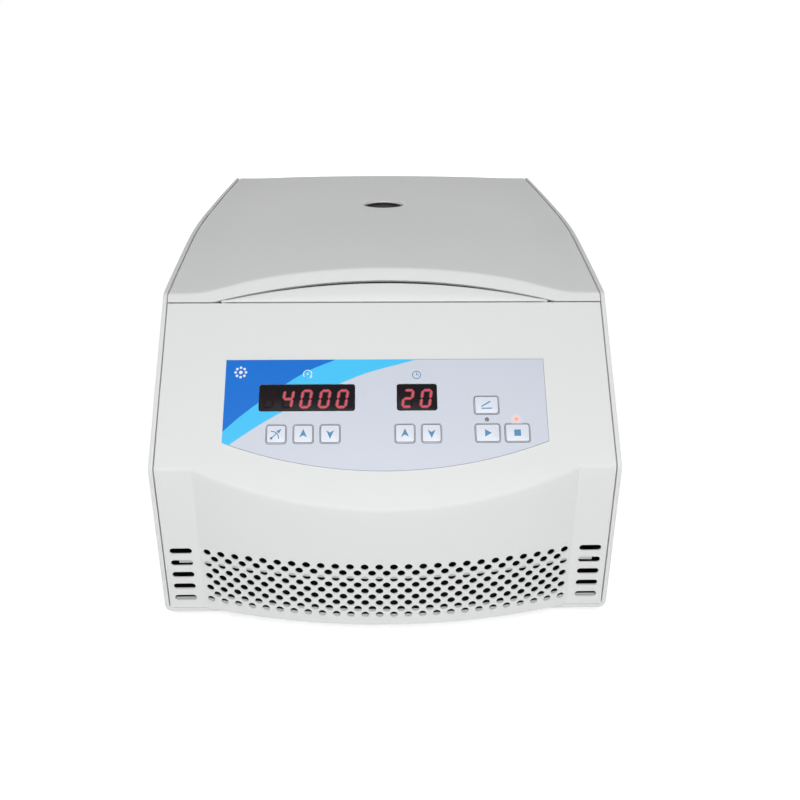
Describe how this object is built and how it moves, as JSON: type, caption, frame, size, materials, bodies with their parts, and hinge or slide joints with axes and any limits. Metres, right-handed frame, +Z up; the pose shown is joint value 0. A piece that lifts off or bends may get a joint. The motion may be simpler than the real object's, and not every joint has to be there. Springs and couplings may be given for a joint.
{
  "type": "butterfat centrifuge",
  "caption": "Bench centrifuge for butterfat tubes: crowned hinged lid with a round window, sloping control panel, bulged perforated front and an angle rotor in a steel chamber.",
  "frame": {"origin": "centre of the bounding box at the underside of the feet", "axes": "+X to the object's left seen from behind, which is to the right of someone at the front; +Y towards the hinges at the rear; +Z up"},
  "size_m": [0.32, 0.5164, 0.2393],
  "materials": {
    "cabinet_paint": "smooth light grey enamel",
    "fascia_plastic": "fine satin light grey",
    "panel_film": "printed satin film",
    "display_window": "dark filter window",
    "lamp_lens": "clear lens",
    "lamp_lens_lit": "lit lens",
    "circuit_board": "solder mask",
    "black_plastic": "moulded",
    "deck_plastic": "moulded light grey",
    "chamber_steel": "brushed",
    "seal_rubber": "soft matte",
    "lid_plastic": "fine satin light grey",
    "window_glass": "clear",
    "plated_steel": "zinc plated",
    "hinge_paint": "light grey enamel",
    "motor_iron": "black paint",
    "rotor_alloy": "turned and anodised",
    "sleeve_steel": "turned",
    "pin_brass": "nickelled",
    "key_plastic": "satin off-white",
    "foot_rubber": "matte"
  },
  "bodies": {
    "cabinet": {"cabinet_shell": "cabinet_paint", "rear_panel": "cabinet_paint", "front_fascia": "fascia_plastic", "panel_overlay": "panel_film", "speed_display": "display_window", "time_display": "display_window", "start_lamp": "lamp_lens", "stop_lamp": "lamp_lens_lit", "display_board": "circuit_board", "key_switches": "black_plastic", "top_deck": "deck_plastic", "chamber_bowl": "chamber_steel", "chamber_gasket": "seal_rubber", "hinge_bracket_left": "hinge_paint", "hinge_bracket_right": "hinge_paint", "hinge_pins": "plated_steel", "lock_bracket": "plated_steel", "lock_solenoid": "motor_iron", "motor_body": "motor_iron", "motor_plate": "plated_steel", "damper_posts": "plated_steel", "rubber_dampers": "foot_rubber", "shaft_boot": "foot_rubber", "drive_board": "circuit_board", "heat_sink": "rotor_alloy", "transformer": "motor_iron", "power_inlet": "black_plastic", "inlet_pins": "pin_brass", "switch_housing": "black_plastic", "fuse_holder": "black_plastic", "rubber_feet": "foot_rubber"},
    "lid": {"lid_shell": "lid_plastic", "lid_liner": "chamber_steel", "lid_window": "window_glass", "lid_striker": "plated_steel", "hinge_leaf_left": "hinge_paint", "hinge_leaf_right": "hinge_paint"},
    "rotor": {"motor_shaft": "plated_steel", "rotor_body": "rotor_alloy", "rotor_hub": "rotor_alloy", "rotor_nut": "plated_steel", "tube_sleeve_1": "sleeve_steel", "tube_sleeve_2": "sleeve_steel", "tube_sleeve_3": "sleeve_steel", "tube_sleeve_4": "sleeve_steel", "tube_sleeve_5": "sleeve_steel", "tube_sleeve_6": "sleeve_steel", "tube_sleeve_7": "sleeve_steel", "tube_sleeve_8": "sleeve_steel"},
    "power_rocker": {"power_rocker": "black_plastic"},
    "lock_bolt": {"lock_bolt": "plated_steel"},
    "key_force": {"key_force": "key_plastic"},
    "key_speed_up": {"key_speed_up": "key_plastic"},
    "key_speed_down": {"key_speed_down": "key_plastic"},
    "key_time_up": {"key_time_up": "key_plastic"},
    "key_time_down": {"key_time_down": "key_plastic"},
    "key_open": {"key_open": "key_plastic"},
    "key_start": {"key_start": "key_plastic"},
    "key_stop": {"key_stop": "key_plastic"}
  },
  "joints": [
    {"name": "lid_hinge", "type": "hinge", "parent": "cabinet", "child": "lid", "pos_m": [0, 0.25325, 0.182], "axis": [-1, 0, 0], "range_deg": [0, 80]},
    {"name": "rotor_spin", "type": "hinge", "parent": "cabinet", "child": "rotor", "pos_m": [0, 0.05025, 0.1], "axis": [0, 0, 1], "continuous": true},
    {"name": "power_rocker_tilt", "type": "hinge", "parent": "cabinet", "child": "power_rocker", "pos_m": [-0.062, 0.23825, 0.052], "axis": [-1, 0, 0], "range_deg": [0, 16]},
    {"name": "lock_bolt_slide", "type": "slide", "parent": "cabinet", "child": "lock_bolt", "axis": [-1, 0, 0], "range_m": [0, 0.014], "stiffness_N_per_m": 150, "springref_m": -0.003},
    {"name": "key_force_press", "type": "slide", "parent": "cabinet", "child": "key_force", "axis": [0, 0.682, -0.7314], "range_m": [0, 0.0004], "stiffness_N_per_m": 1500, "springref_m": -0.0003},
    {"name": "key_speed_up_press", "type": "slide", "parent": "cabinet", "child": "key_speed_up", "axis": [0, 0.682, -0.7314], "range_m": [0, 0.0004], "stiffness_N_per_m": 1500, "springref_m": -0.0003},
    {"name": "key_speed_down_press", "type": "slide", "parent": "cabinet", "child": "key_speed_down", "axis": [0, 0.682, -0.7314], "range_m": [0, 0.0004], "stiffness_N_per_m": 1500, "springref_m": -0.0003},
    {"name": "key_time_up_press", "type": "slide", "parent": "cabinet", "child": "key_time_up", "axis": [0, 0.682, -0.7314], "range_m": [0, 0.0004], "stiffness_N_per_m": 1500, "springref_m": -0.0003},
    {"name": "key_time_down_press", "type": "slide", "parent": "cabinet", "child": "key_time_down", "axis": [0, 0.682, -0.7314], "range_m": [0, 0.0004], "stiffness_N_per_m": 1500, "springref_m": -0.0003},
    {"name": "key_open_press", "type": "slide", "parent": "cabinet", "child": "key_open", "axis": [0, 0.682, -0.7314], "range_m": [0, 0.0004], "stiffness_N_per_m": 1500, "springref_m": -0.0003},
    {"name": "key_start_press", "type": "slide", "parent": "cabinet", "child": "key_start", "axis": [0, 0.682, -0.7314], "range_m": [0, 0.0004], "stiffness_N_per_m": 1500, "springref_m": -0.0003},
    {"name": "key_stop_press", "type": "slide", "parent": "cabinet", "child": "key_stop", "axis": [0, 0.682, -0.7314], "range_m": [0, 0.0004], "stiffness_N_per_m": 1500, "springref_m": -0.0003}
  ]
}
